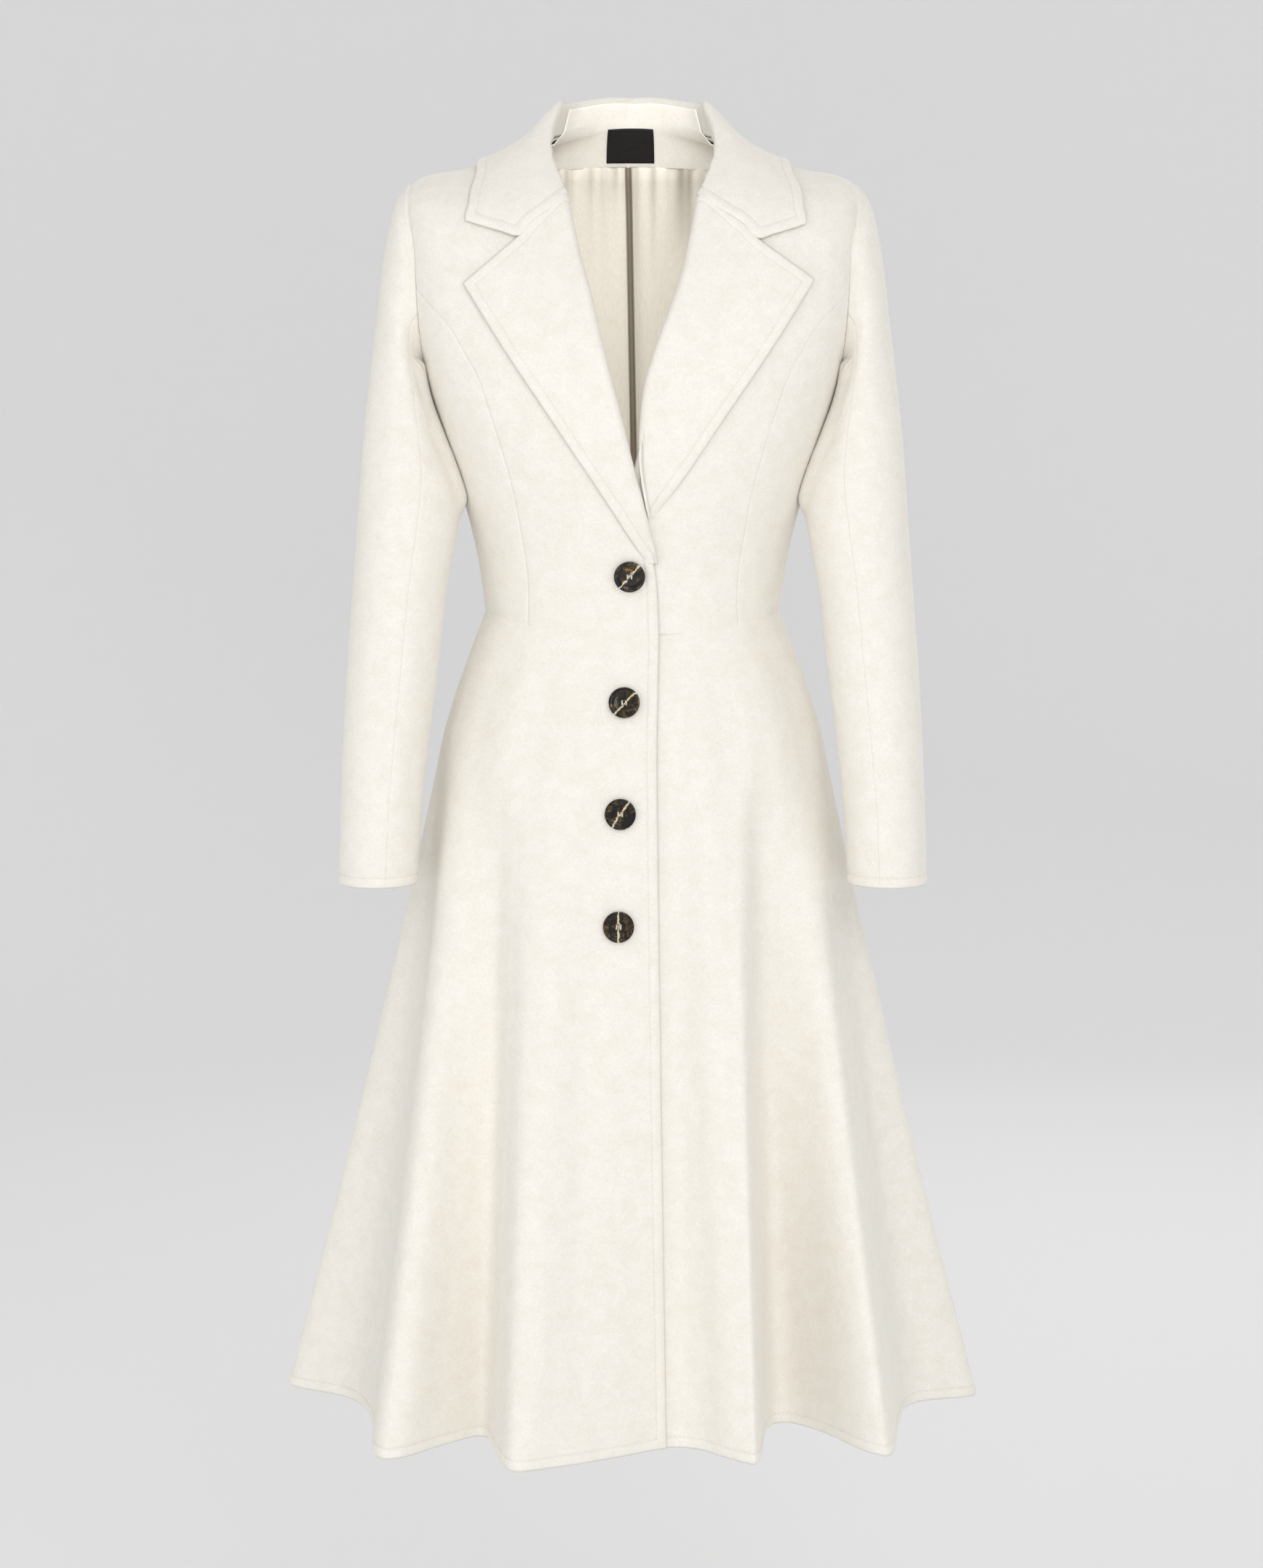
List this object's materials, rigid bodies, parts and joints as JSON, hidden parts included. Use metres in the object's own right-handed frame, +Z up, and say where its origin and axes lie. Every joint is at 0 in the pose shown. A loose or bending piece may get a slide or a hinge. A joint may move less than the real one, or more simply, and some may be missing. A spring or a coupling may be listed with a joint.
{
  "type": "wool coat",
  "caption": "Women's ivory wool coat with notched lapels, fitted waist and fluted flared skirt, buttoned and filled out as worn.",
  "frame": {"origin": "midway between the shoulders, level with the side neck points, where the wearer's shoulders hold the coat up", "axes": "+Z up from hem to collar, -Y out of the coat's front, +X to the viewer's right, the wearer's left"},
  "size_m": [0.6068, 0.4633, 1.1279],
  "materials": {
    "wool": "felted wool coating with a short matt nap",
    "lining": "soft satin",
    "label": "plain black woven cloth",
    "button": "polished dark tortoiseshell"
  },
  "bodies": {
    "root": {"front_right": "wool", "front_left": "wool", "side_front_right": "wool", "side_front_left": "wool", "side_back_right": "wool", "side_back_left": "wool", "back": "wool", "lapel_right": "wool", "lapel_left": "wool", "collar": "wool", "back_neck_facing": "wool", "sleeve_top_right": "wool", "sleeve_top_left": "wool", "sleeve_under_right": "wool", "sleeve_under_left": "wool", "skirt_front_right": "wool", "skirt_front_left": "wool", "skirt_back": "wool", "lining_back": "lining", "label": "label", "button_1": "button", "button_2": "button", "button_3": "button", "button_4": "button"}
  },
  "joints": []
}
